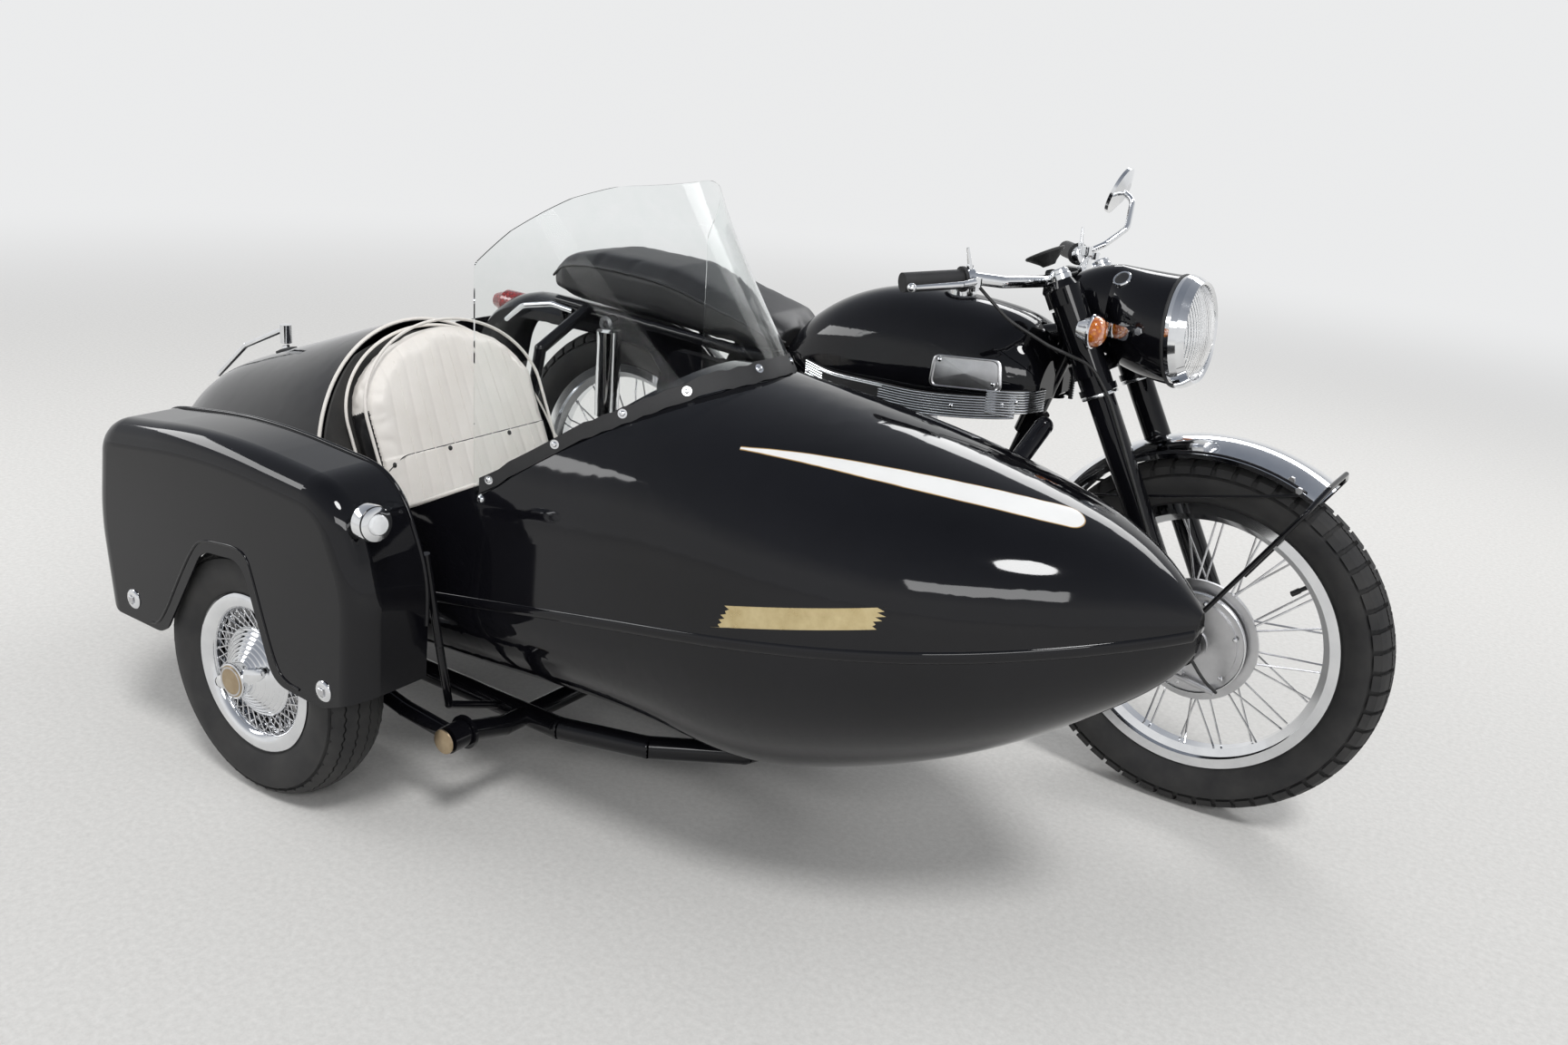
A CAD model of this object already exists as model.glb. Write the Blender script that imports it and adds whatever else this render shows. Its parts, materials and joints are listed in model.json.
import json
import math

import bmesh
import bpy
from mathutils import Matrix, Vector
from mathutils.bvhtree import BVHTree

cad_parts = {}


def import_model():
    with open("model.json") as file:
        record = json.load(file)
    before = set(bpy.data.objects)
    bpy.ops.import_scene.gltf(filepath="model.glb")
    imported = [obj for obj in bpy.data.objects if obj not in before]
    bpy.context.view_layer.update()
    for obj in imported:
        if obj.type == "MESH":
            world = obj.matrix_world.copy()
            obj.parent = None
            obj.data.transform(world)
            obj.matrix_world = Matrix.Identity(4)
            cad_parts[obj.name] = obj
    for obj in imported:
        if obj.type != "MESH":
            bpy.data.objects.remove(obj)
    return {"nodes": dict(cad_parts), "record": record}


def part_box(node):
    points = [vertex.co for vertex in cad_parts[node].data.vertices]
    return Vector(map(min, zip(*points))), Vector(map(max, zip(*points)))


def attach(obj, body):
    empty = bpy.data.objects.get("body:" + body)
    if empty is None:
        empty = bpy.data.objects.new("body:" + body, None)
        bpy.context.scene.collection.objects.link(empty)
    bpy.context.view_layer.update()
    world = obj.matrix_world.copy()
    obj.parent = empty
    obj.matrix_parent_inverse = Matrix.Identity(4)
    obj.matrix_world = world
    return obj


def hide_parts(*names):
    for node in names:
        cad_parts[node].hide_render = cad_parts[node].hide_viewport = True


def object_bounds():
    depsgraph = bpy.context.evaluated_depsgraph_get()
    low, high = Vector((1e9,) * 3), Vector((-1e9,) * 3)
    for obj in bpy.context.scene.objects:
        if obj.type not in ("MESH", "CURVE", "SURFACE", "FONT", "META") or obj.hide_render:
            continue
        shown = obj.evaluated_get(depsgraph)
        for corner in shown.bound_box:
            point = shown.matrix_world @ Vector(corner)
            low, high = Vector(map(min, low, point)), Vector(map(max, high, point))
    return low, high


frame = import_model()
cad_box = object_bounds()

# Driving values, in metres. Model coordinates start at the rear axle's foot, as in the CAD source.
WHEELBASE = 1.365
TYRE_R = 0.338

front_low, front_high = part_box("front_tyre")
ORIGIN_X = WHEELBASE - (front_low.x + front_high.x) / 2
ORIGIN_Y = -(front_low.y + front_high.y) / 2


def place(x, y, z):
    """Point of the row frame from millimetres of the model's own coordinates."""
    return Vector((x / 1000 - ORIGIN_X, y / 1000 - ORIGIN_Y, z / 1000))


# Materials

def new_material(name):
    """Empty node material with its principled shader."""
    mat = bpy.data.materials.new(name)
    mat.use_nodes = True
    shader = mat.node_tree.nodes["Principled BSDF"]
    return mat, mat.node_tree, shader


def pattern(tree, kind):
    """Texture node over the object's own coordinates."""
    coords = tree.nodes.new("ShaderNodeTexCoord")
    node = tree.nodes.new("ShaderNodeTex" + kind)
    tree.links.new(coords.outputs["Object"], node.inputs["Vector"])
    return node


def noise(tree, scale, detail=4.0, roughness=0.5):
    node = pattern(tree, "Noise")
    node.inputs["Scale"].default_value = scale
    node.inputs["Detail"].default_value = detail
    node.inputs["Roughness"].default_value = roughness
    return node


def ramp(tree, source, stops):
    """Colour ramp over a value; stops are (position, colour)."""
    node = tree.nodes.new("ShaderNodeValToRGB")
    tree.links.new(source, node.inputs["Fac"])
    elements = node.color_ramp.elements
    while len(elements) < len(stops):
        elements.new(0.5)
    for element, (position, colour) in zip(elements, stops):
        element.position = position
        element.color = (*colour, 1.0)
    return node


def tint(tree, shader, source, stops):
    """Base colour from a ramp over a value."""
    tree.links.new(ramp(tree, source, stops).outputs["Color"], shader.inputs["Base Color"])


def spread(tree, source, low, high):
    """Value from 0 to 1 taken to a range."""
    node = tree.nodes.new("ShaderNodeMapRange")
    node.inputs["To Min"].default_value = low
    node.inputs["To Max"].default_value = high
    tree.links.new(source, node.inputs["Value"])
    return node.outputs["Result"]


def bump(tree, source, strength, distance, before=None):
    """Bump from a height value, after an earlier one if given."""
    node = tree.nodes.new("ShaderNodeBump")
    node.inputs["Strength"].default_value = strength
    node.inputs["Distance"].default_value = distance
    tree.links.new(source, node.inputs["Height"])
    if before is not None:
        tree.links.new(before, node.inputs["Normal"])
    return node.outputs["Normal"]


def combined(tree, operation, first, second):
    """Two values taken together by a math node."""
    node = tree.nodes.new("ShaderNodeMath")
    node.operation = operation
    tree.links.new(first, node.inputs[0])
    tree.links.new(second, node.inputs[1])
    return node.outputs["Value"]


def mixed(tree, share, first, second):
    """Two shaders mixed by a share."""
    node = tree.nodes.new("ShaderNodeMixShader")
    tree.links.new(share, node.inputs["Fac"])
    tree.links.new(first, node.inputs[1])
    tree.links.new(second, node.inputs[2])
    return node.outputs["Shader"]


def varied(name, dark, light, rough, metallic=0.0, scale=9.0, grain=None, coat=0.0):
    """Material whose colour and roughness vary softly.

    Grain is the scale, strength and distance of a fine bump.
    """
    mat, tree, shader = new_material(name)
    broad = noise(tree, scale, 5.0, 0.6)
    tint(tree, shader, broad.outputs["Fac"], [(0.3, dark), (0.7, light)])
    shader.inputs["Metallic"].default_value = metallic
    tree.links.new(spread(tree, broad.outputs["Fac"], *rough), shader.inputs["Roughness"])
    if coat:
        shader.inputs["Coat Weight"].default_value = coat
        shader.inputs["Coat Roughness"].default_value = 0.03
    if grain:
        fine = noise(tree, grain[0], 3.0)
        tree.links.new(bump(tree, fine.outputs["Fac"], grain[1], grain[2]), shader.inputs["Normal"])
    return mat


def black_paint():
    mat = varied("gloss_black", (0.003, 0.003, 0.004), (0.006, 0.006, 0.008), (0.03, 0.07), scale=3.0,
                 grain=(40.0, 0.012, 0.0004))
    mat.node_tree.nodes["Principled BSDF"].inputs["Specular IOR Level"].default_value = 0.36
    return mat


def leatherette(name, dark, light, rough):
    """Coated cloth with a fine pebbled grain."""
    mat, tree, shader = new_material(name)
    broad = noise(tree, 7.0, 6.0, 0.6)
    tint(tree, shader, broad.outputs["Fac"], [(0.32, dark), (0.68, light)])
    tree.links.new(spread(tree, broad.outputs["Fac"], *rough), shader.inputs["Roughness"])
    cells = pattern(tree, "Voronoi")
    cells.inputs["Scale"].default_value = 520.0
    soft = noise(tree, 35.0, 4.0)
    creases = bump(tree, soft.outputs["Fac"], 0.18, 0.002)
    tree.links.new(bump(tree, cells.outputs["Distance"], 0.22, 0.0006, creases), shader.inputs["Normal"])
    return mat


def clear_acrylic():
    """Thin clear sheet with faint scuffs."""
    mat, tree, shader = new_material("clear_acrylic")
    scuff = noise(tree, 26.0, 8.0, 0.7)
    tint(tree, shader, scuff.outputs["Fac"], [(0.3, (0.93, 0.96, 0.95)), (0.7, (0.98, 0.99, 0.99))])
    tree.links.new(spread(tree, scuff.outputs["Fac"], 0.0, 0.05), shader.inputs["Roughness"])
    shader.inputs["Transmission Weight"].default_value = 1.0
    shader.inputs["IOR"].default_value = 1.1
    return mat


def lamp_glass():
    """Fluted lamp glass: upright ribs cast in the back."""
    mat, tree, shader = new_material("lamp_glass")
    flutes = pattern(tree, "Wave")
    flutes.bands_direction = "Y"
    flutes.inputs["Scale"].default_value = 46.0
    cloud = noise(tree, 30.0)
    tint(tree, shader, cloud.outputs["Fac"], [(0.3, (0.86, 0.88, 0.90)), (0.7, (0.96, 0.97, 0.98))])
    tree.links.new(spread(tree, cloud.outputs["Fac"], 0.03, 0.12), shader.inputs["Roughness"])
    tree.links.new(bump(tree, flutes.outputs["Fac"], 0.6, 0.003), shader.inputs["Normal"])
    shader.inputs["Transmission Weight"].default_value = 0.96
    shader.inputs["IOR"].default_value = 1.45
    return mat


def lens(name, dark, light):
    """Coloured plastic lens with a prismatic pattern."""
    mat, tree, shader = new_material(name)
    cells = pattern(tree, "Voronoi")
    cells.inputs["Scale"].default_value = 150.0
    tint(tree, shader, cells.outputs["Distance"], [(0.0, light), (0.6, dark)])
    tree.links.new(bump(tree, cells.outputs["Distance"], 0.5, 0.002), shader.inputs["Normal"])
    shader.inputs["Roughness"].default_value = 0.12
    shader.inputs["Transmission Weight"].default_value = 0.25
    shader.inputs["Coat Weight"].default_value = 1.0
    return mat


# Looks by name; the CAD's material slots come first
MATERIALS = {
    "black_paint": black_paint(),
    "chrome": varied("chrome", (0.72, 0.73, 0.75), (0.86, 0.87, 0.88), (0.04, 0.10), 1.0, 14.0),
    "satin_alloy": varied("satin_alloy", (0.52, 0.52, 0.53), (0.66, 0.66, 0.67), (0.28, 0.42), 1.0, 22.0,
                          grain=(420.0, 0.10, 0.0004)),
    "dark_alloy": varied("dark_alloy", (0.16, 0.16, 0.17), (0.30, 0.30, 0.31), (0.42, 0.6), 1.0, 30.0,
                         grain=(600.0, 0.25, 0.0006)),
    "cast_fins": varied("cast_black", (0.018, 0.018, 0.019), (0.045, 0.044, 0.043), (0.45, 0.7), 0.0, 40.0,
                        grain=(700.0, 0.3, 0.0006)),
    "tyre_rubber": varied("tyre_rubber", (0.012, 0.012, 0.013), (0.035, 0.034, 0.033), (0.62, 0.85), 0.0,
                          16.0, grain=(500.0, 0.2, 0.0005)),
    "black_rubber": varied("black_rubber", (0.010, 0.010, 0.011), (0.022, 0.022, 0.023), (0.5, 0.7), 0.0,
                           30.0, grain=(500.0, 0.15, 0.0004)),
    "black_leatherette": leatherette("black_leatherette", (0.010, 0.010, 0.011), (0.022, 0.022, 0.023),
                                     (0.32, 0.5)),
    "cream_vinyl": leatherette("cream_vinyl", (0.76, 0.72, 0.67), (0.83, 0.795, 0.75), (0.38, 0.55)),
    "clear_acrylic": clear_acrylic(),
    "lamp_glass": lamp_glass(),
    "red_lens": lens("red_lens", (0.22, 0.004, 0.004), (0.62, 0.015, 0.012)),
    "amber_lens": lens("amber_lens", (0.55, 0.12, 0.004), (0.95, 0.34, 0.02)),
    "steel_spokes": varied("bright_steel", (0.55, 0.55, 0.56), (0.74, 0.74, 0.75), (0.18, 0.3), 1.0, 25.0),
    "seat_ply": varied("painted_ply", (0.02, 0.02, 0.02), (0.04, 0.038, 0.036), (0.5, 0.7), 0.0, 12.0,
                       grain=(220.0, 0.2, 0.0008)),
    "cable_sheath": varied("cable_sheath", (0.012, 0.012, 0.012), (0.03, 0.03, 0.03), (0.4, 0.6), 0.0, 60.0),
    # trim that has no slot of its own
    "bronze": varied("bronze_cap", (0.36, 0.27, 0.17), (0.50, 0.40, 0.27), (0.25, 0.4), 1.0, 30.0),
    "gold": varied("gold_plate", (0.58, 0.46, 0.24), (0.74, 0.62, 0.36), (0.22, 0.36), 1.0, 40.0),
    "cream_paint": varied("cream_paint", (0.80, 0.80, 0.79), (0.88, 0.88, 0.87), (0.18, 0.3), 0.0, 6.0,
                          coat=0.6),
    "gold_line": varied("gold_line", (0.30, 0.17, 0.05), (0.48, 0.30, 0.10), (0.3, 0.4), 0.0, 30.0, coat=0.4),
    "polished": varied("polished_alloy", (0.66, 0.67, 0.68), (0.80, 0.81, 0.82), (0.14, 0.24), 1.0, 18.0),
    "frosted": varied("frosted_glass", (0.74, 0.75, 0.76), (0.84, 0.85, 0.86), (0.2, 0.35), 0.0, 50.0,
                      coat=1.0),
}

SLOT_OF = {part["node"]: part["material_slot"] for part in frame["record"]["subparts"]}


def dress_nodes():
    """Every CAD node gets its slot's material and smooth shading up to its hard edges."""
    for name, obj in frame["nodes"].items():
        obj.data.materials.clear()
        obj.data.materials.append(MATERIALS[SLOT_OF[name]])
        obj.data.shade_smooth()
        sharp = obj.modifiers.new("hard_edges", "EDGE_SPLIT")
        sharp.split_angle = math.radians(32)
    lamp = frame["nodes"]["mudguard_lamp"]
    lamp.data.materials.clear()
    lamp.data.materials.append(MATERIALS["black_paint"])


# Camera, light and floor

# The photograph's viewpoint: turn, downward tilt and roll, lens on a picture 36 mm wide, and place in mm
VIEW_TURN = math.radians(32.747)
VIEW_TILT = math.radians(19.267)
VIEW_ROLL = math.radians(4.36)
VIEW_LENS = 32.54
VIEW_PLACE = (2020.3, -2476.3, 1345.5)


def put(name, data):
    """New object in the scene."""
    obj = bpy.data.objects.new(name, data)
    bpy.context.scene.collection.objects.link(obj)
    return obj


def camera():
    """Camera at the photograph's viewpoint."""
    yaw, pitch, roll = VIEW_TURN, VIEW_TILT, VIEW_ROLL
    ahead = Vector((-math.sin(yaw) * math.cos(pitch), math.cos(yaw) * math.cos(pitch), -math.sin(pitch)))
    right = Vector((math.cos(yaw), math.sin(yaw), 0))
    up = right.cross(ahead)
    turned = right * math.cos(roll) + up * math.sin(roll)
    upright = up * math.cos(roll) - right * math.sin(roll)
    data = bpy.data.cameras.new("photo_camera")
    data.sensor_fit = "HORIZONTAL"
    data.sensor_width = 36.0
    data.lens = VIEW_LENS
    data.clip_end = 100.0
    obj = put("photo_camera", data)
    matrix = Matrix((turned, upright, -ahead)).transposed().to_4x4()
    matrix.translation = place(*VIEW_PLACE)
    obj.matrix_world = matrix
    bpy.context.scene.camera = obj


def area_light(name, location, target, size, power):
    """Soft rectangular lamp aimed at a point."""
    data = bpy.data.lights.new(name, "AREA")
    data.shape = "RECTANGLE"
    data.size = size[0]
    data.size_y = size[1]
    data.energy = power
    obj = put(name, data)
    obj.location = location
    obj.rotation_euler = (Vector(target) - Vector(location)).to_track_quat("-Z", "Y").to_euler()


BACKDROP = (0.83, 0.835, 0.84, 1.0)
# How far from the middle the floor starts to turn into the backdrop and where it is all backdrop, metres
FADE_START = 2.6
FADE_END = 7.5


def directly_seen(tree):
    """1 for rays from the camera, from shiny surfaces and through glass."""
    path = tree.nodes.new("ShaderNodeLightPath")
    either = combined(tree, "MAXIMUM", path.outputs["Is Camera Ray"], path.outputs["Is Glossy Ray"])
    return combined(tree, "MAXIMUM", either, path.outputs["Is Transmission Ray"])


def floor():
    """Plain pale floor that keeps the object's shadow."""
    bpy.ops.mesh.primitive_plane_add(size=60)
    obj = bpy.context.object
    obj.name = "floor"
    mat, tree, shader = new_material("pale_floor")
    speckle = noise(tree, 90.0, 6.0, 0.7)
    tint(tree, shader, speckle.outputs["Fac"], [(0.3, (0.62, 0.61, 0.59)), (0.7, (0.74, 0.73, 0.71))])
    shader.inputs["Roughness"].default_value = 0.9
    coords = tree.nodes.new("ShaderNodeTexCoord")
    distance = tree.nodes.new("ShaderNodeVectorMath")
    distance.operation = "LENGTH"
    tree.links.new(coords.outputs["Object"], distance.inputs[0])
    fade = tree.nodes.new("ShaderNodeMapRange")
    fade.interpolation_type = "SMOOTHSTEP"
    fade.inputs["From Min"].default_value = FADE_START
    fade.inputs["From Max"].default_value = FADE_END
    tree.links.new(distance.outputs["Value"], fade.inputs["Value"])
    seen = combined(tree, "MULTIPLY", fade.outputs["Result"], directly_seen(tree))
    backdrop = tree.nodes.new("ShaderNodeEmission")
    backdrop.inputs["Color"].default_value = BACKDROP
    mix = mixed(tree, seen, shader.outputs["BSDF"], backdrop.outputs["Emission"])
    tree.links.new(mix, tree.nodes["Material Output"].inputs["Surface"])
    obj.data.materials.append(mat)


def world():
    """Pale backdrop where it is seen, reflected or looked at through glass; plain soft light elsewhere."""
    scene_world = bpy.data.worlds.new("studio")
    bpy.context.scene.world = scene_world
    scene_world.use_nodes = True
    tree = scene_world.node_tree
    background = tree.nodes["Background"]
    background.inputs["Color"].default_value = (0.95, 0.97, 1.0, 1.0)
    background.inputs["Strength"].default_value = 0.42
    coords = tree.nodes.new("ShaderNodeTexCoord")
    split = tree.nodes.new("ShaderNodeSeparateXYZ")
    tree.links.new(coords.outputs["Generated"], split.inputs["Vector"])
    pale = BACKDROP[:3]
    sky = ramp(tree, split.outputs["Z"], [(0.0, pale), (0.22, pale), (0.5, (0.42, 0.44, 0.48)),
                                           (1.0, (0.20, 0.22, 0.26))])
    seen = tree.nodes.new("ShaderNodeBackground")
    tree.links.new(sky.outputs["Color"], seen.inputs["Color"])
    mix = mixed(tree, directly_seen(tree), background.outputs["Background"], seen.outputs["Background"])
    tree.links.new(mix, tree.nodes["World Output"].inputs["Surface"])


def sun(name, towards, strength, angle):
    """Even light over the whole floor, with soft shadows."""
    data = bpy.data.lights.new(name, "SUN")
    data.energy = strength
    data.angle = math.radians(angle)
    obj = put(name, data)
    obj.rotation_euler = Vector(towards).to_track_quat("-Z", "Y").to_euler()


def lighting():
    """One broad sun from the front left, and three long soft boxes that draw highlights on the paint."""
    sun("sun", (-0.45, 0.35, -1.0), 1.35, 14)
    area_light("near_box", (2.6, -3.4, 2.6), (0.2, -0.2, 0.5), (3.2, 0.8), 55)
    area_light("rear_box", (-3.2, -1.6, 2.4), (-0.2, 0, 0.5), (2.6, 0.7), 34)
    area_light("far_box", (0.6, 3.6, 3.0), (0, 0, 0.5), (4.0, 0.9), 60)


# Mesh helpers

def mesh_object(name, points, faces, mat, body, smooth=None):
    """Mesh from points and faces, in the look that mat names, riding on a body."""
    data = bpy.data.meshes.new(name)
    data.from_pydata([tuple(p) for p in points], [], faces)
    data.update()
    obj = put(name, data)
    data.materials.append(MATERIALS[mat])
    if smooth is not None:
        data.shade_smooth()
        split = obj.modifiers.new("hard_edges", "EDGE_SPLIT")
        split.split_angle = math.radians(smooth)
    if body:
        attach(obj, body)
    return obj


def stands_for(node):
    """Shown in place of a CAD node, with that node's material slot."""
    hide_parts(node)


def side_name(side):
    return "left" if side > 0 else "right"


class Form:
    """Points and faces gathered for one mesh."""

    def __init__(self):
        self.points = []
        self.faces = []

    def add(self, points, faces):
        start = len(self.points)
        self.points.extend(points)
        self.faces.extend([tuple(start + i for i in face) for face in faces])

    def grid(self, rows, close_rows=False, close_columns=False):
        """Quads over rows of points, all of one length."""
        start = len(self.points)
        count = len(rows[0])
        for row in rows:
            self.points.extend(row)
        for i in range(len(rows) - (0 if close_rows else 1)):
            a = start + i * count
            b = start + (i + 1) % len(rows) * count
            for j in range(count - (0 if close_columns else 1)):
                k = (j + 1) % count
                self.faces.append((a + j, a + k, b + k, b + j))

    def cap(self, ring, flip=False):
        start = len(self.points)
        self.points.extend(ring)
        face = tuple(range(start, start + len(ring)))
        self.faces.append(face[::-1] if flip else face)

    def loft(self, rows, close_columns=False):
        """Skin over rows of points, closed at its first and last row."""
        self.grid(rows, close_columns=close_columns)
        self.cap(rows[0])
        self.cap(rows[-1], flip=True)

    def object(self, name, mat, body, smooth=None):
        return mesh_object(name, self.points, self.faces, mat, body, smooth)


def arc(a, b, c, count):
    """Points from a to c along the arc through b, in a plane."""
    ax, ay = a
    bx, by = b
    cx, cy = c
    d = 2 * (ax * (by - cy) + bx * (cy - ay) + cx * (ay - by))
    ux = ((ax * ax + ay * ay) * (by - cy) + (bx * bx + by * by) * (cy - ay)
          + (cx * cx + cy * cy) * (ay - by)) / d
    uy = ((ax * ax + ay * ay) * (cx - bx) + (bx * bx + by * by) * (ax - cx)
          + (cx * cx + cy * cy) * (bx - ax)) / d
    radius = math.hypot(ax - ux, ay - uy)
    start = math.atan2(ay - uy, ax - ux)
    middle = (math.atan2(by - uy, bx - ux) - start) % math.tau
    sweep = (math.atan2(cy - uy, cx - ux) - start) % math.tau
    if middle > sweep:
        sweep -= math.tau
    return [(ux + radius * math.cos(start + sweep * i / (count - 1)),
             uy + radius * math.sin(start + sweep * i / (count - 1))) for i in range(count)]


def around(centre, y, radius, angle):
    """Point on a wheel: y along its axle, radius and angle round it."""
    return Vector((centre.x + radius * math.cos(angle), centre.y + y, centre.z + radius * math.sin(angle)))


def spun(form, centre, profile, count, close=False):
    """Profile of (y, radius) turned round a wheel's axle."""
    rows = []
    for i in range(count):
        angle = math.tau * i / count
        rows.append([around(centre, y, r, angle) for y, r in profile])
    form.grid(rows, close_rows=True, close_columns=close)


# Tyres with their road tread

class TyreShape:
    """Side of a tyre from its crown to its bead, by distance along the surface, in metres."""

    def __init__(self, radius, width, lip, foot):
        half = width / 2
        shoulder = (half * 0.86, radius - 0.12 * width)
        wall_r = lip + (radius - lip) * 0.45
        crown = arc((-shoulder[0], shoulder[1]), (0, radius), shoulder, 81)[40:]
        side = arc(shoulder, (half, wall_r), (foot, lip), 60)
        self.line = crown + side[1:]
        self.runs = [0.0]
        for p, q in zip(self.line, self.line[1:]):
            self.runs.append(self.runs[-1] + math.dist(p, q))

    def at(self, run, sink=0.0):
        """(y, radius) at a signed distance from the crown, sunk below the surface."""
        side = -1 if run < 0 else 1
        run = min(abs(run), self.runs[-1] - 1e-6)
        k = max(i for i, value in enumerate(self.runs) if value <= run)
        k = min(k, len(self.line) - 2)
        share = (run - self.runs[k]) / (self.runs[k + 1] - self.runs[k])
        p, q = self.line[k], self.line[k + 1]
        ty, tr = q[0] - p[0], q[1] - p[1]
        size = math.hypot(ty, tr)
        y = p[0] + ty * share + tr / size * sink
        r = p[1] + tr * share - ty / size * sink
        return side * y, r


def carcass(form, centre, shape, bead, foot, tread_run, sink, count):
    """Tyre body, sunk under the tread, with its side walls and beads."""
    runs = [tread_run * i / 14 for i in range(15)]
    line = [shape.at(run, sink) for run in runs]
    line.append(shape.at(tread_run + sink * 0.8, 0.0))
    wall = shape.runs[-1]
    steps = 16
    for i in range(1, steps + 1):
        line.append(shape.at(tread_run + sink + (wall - tread_run - sink) * i / steps))
    line.append((foot, bead))
    full = [(-y, r) for y, r in reversed(line)] + line[1:]
    spun(form, centre, full, count, close=True)


def tread_block(form, centre, shape, outline, sink, edge=0.0008):
    """One rubber block; outline is (angle, run) points in order round it."""
    middle_a = sum(a for a, _ in outline) / len(outline)
    middle_run = sum(run for _, run in outline) / len(outline)
    rings = []
    for grow, depth in ((-edge, 0.0), (0.0, edge), (0.0004, sink + 0.001)):
        ring = []
        for angle, run in outline:
            y, r = shape.at(run + math.copysign(grow, run - middle_run), depth)
            turn = angle + math.copysign(grow / r, angle - middle_a)
            ring.append(around(centre, y, r, turn))
        rings.append(ring)
    form.grid([ring + ring[:1] for ring in rings])
    form.cap(rings[0])


def trail_tyre(name, node, body):
    """Motorcycle tyre with a blocky road-and-trail tread."""
    low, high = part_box(node)
    centre = (low + high) / 2
    width, lip, bead, foot = 0.096, 0.256, 0.241, 0.0247
    shape = TyreShape(TYRE_R, width, lip, foot)
    sink = 0.0065
    edge_run = 0.058
    form = Form()
    carcass(form, centre, shape, bead, foot, edge_run, sink, 160)
    pitches = 54
    step = math.tau / pitches
    # share of the pitch where a block starts and ends, its run from the crown's middle, toothed outer edge
    layout = [(0.06, 0.84, 0.0015, 0.0125, True), (0.10, 0.86, 0.0165, 0.0285, False),
              (0.10, 0.86, 0.0300, 0.0420, False), (0.12, 0.84, 0.0435, 0.0565, False)]
    for index in range(pitches):
        for side in (-1, 1):
            for start, end, inner, outer, toothed in layout:
                shift = 0.5 if side > 0 else 0.0
                a0 = (index + start + shift) * step
                a1 = (index + end + shift) * step
                outline = [(a0, side * inner), (a1, side * inner)]
                if toothed:
                    teeth = 4
                    for t in range(2 * teeth + 1):
                        reach = outer if t % 2 else outer - 0.0022
                        outline.append((a1 + (a0 - a1) * t / (2 * teeth), side * reach))
                else:
                    outline += [(a1, side * (inner + outer) / 2), (a1, side * outer), (a0, side * outer),
                                (a0, side * (inner + outer) / 2)]
                if side < 0:
                    outline.reverse()
                tread_block(form, centre, shape, outline, sink)
    obj = form.object(name, "tyre_rubber", body, 38)
    stands_for(node)


def car_tyre(name, node, body):
    """Sidecar tyre: five ribs between zigzag grooves, notched at the shoulders."""
    low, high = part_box(node)
    centre = (low + high) / 2
    radius, width, lip, bead, foot = 0.231, 0.122, 0.141, 0.130, 0.0437
    shape = TyreShape(radius, width, lip, foot)
    sink = 0.005
    edge_run = 0.062
    form = Form()
    carcass(form, centre, shape, bead, foot, edge_run, sink, 144)
    count = 288
    bounds = (-0.060, -0.0375, -0.0350, -0.0135, -0.0110, 0.0110, 0.0135, 0.0350, 0.0375, 0.060)
    for rib in range(5):
        inner, outer = bounds[2 * rib], bounds[2 * rib + 1]
        rows = []
        for i in range(count):
            angle = math.tau * i / count
            zig = 0.0013 * (1 if i % 4 < 2 else -1)
            low_run = inner + (zig if rib > 0 else (0.004 if i % 6 == 0 else 0))
            high_run = outer + (zig if rib < 4 else (-0.004 if i % 6 == 0 else 0))
            row = []
            for run, depth in ((low_run, sink + 0.001), (low_run, 0.0005), (low_run + 0.0006, 0.0),
                               ((low_run + high_run) / 2, 0.0), (high_run - 0.0006, 0.0),
                               (high_run, 0.0005), (high_run, sink + 0.001)):
                y, r = shape.at(run, depth)
                row.append(around(centre, y, r, angle))
            rows.append(row)
        form.grid(rows, close_rows=True)
    obj = form.object(name, "tyre_rubber", body, 38)
    stands_for(node)


# Soft goods

CLOTH_STEPS = 20


def cloth_inflate(obj, voxel, pressure, cap):
    """Swell a closed mesh as stuffed cloth and keep every point within cap of where it was."""
    view = bpy.context.view_layer
    bpy.ops.object.select_all(action="DESELECT")
    obj.select_set(True)
    view.objects.active = obj
    obj.data.remesh_voxel_size = voxel
    bpy.ops.object.voxel_remesh()
    rest = [v.co.copy() for v in obj.data.vertices]
    cloth = obj.modifiers.new("cloth", "CLOTH")
    cloth.settings.use_pressure = True
    cloth.settings.uniform_pressure_force = pressure
    cloth.settings.effector_weights.gravity = 0.0
    cloth.settings.quality = 4
    cloth.point_cache.frame_start = 1
    cloth.point_cache.frame_end = CLOTH_STEPS
    scene = bpy.context.scene
    for frame_number in range(1, CLOTH_STEPS + 1):
        scene.frame_set(frame_number)
    swollen = obj.evaluated_get(bpy.context.evaluated_depsgraph_get())
    moved = [v.co.copy() for v in swollen.data.vertices]
    obj.modifiers.remove(cloth)
    scene.frame_set(1)
    for vertex, start, end in zip(obj.data.vertices, rest, moved):
        step = end - start
        if step.length > cap:
            step *= cap / step.length
        vertex.co = start + step
    relax = obj.modifiers.new("relax", "SMOOTH")
    relax.factor = 0.5
    relax.iterations = 6
    bpy.ops.object.modifier_apply(modifier=relax.name)
    finer = obj.modifiers.new("finer", "SUBSURF")
    finer.levels = 1
    finer.render_levels = 1
    bpy.ops.object.modifier_apply(modifier=finer.name)
    obj.data.shade_smooth()


def closed_slab(outline, normal, thickness):
    """Mesh of a flat outline made thick, with its front on the outline and its back behind."""
    form = Form()
    back = [p - normal * thickness for p in outline]
    form.cap(outline)
    form.cap(back, flip=True)
    count = len(outline)
    for i in range(count):
        j = (i + 1) % count
        form.add([outline[i], back[i], back[j], outline[j]], [(0, 1, 2, 3)])
    return form


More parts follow.
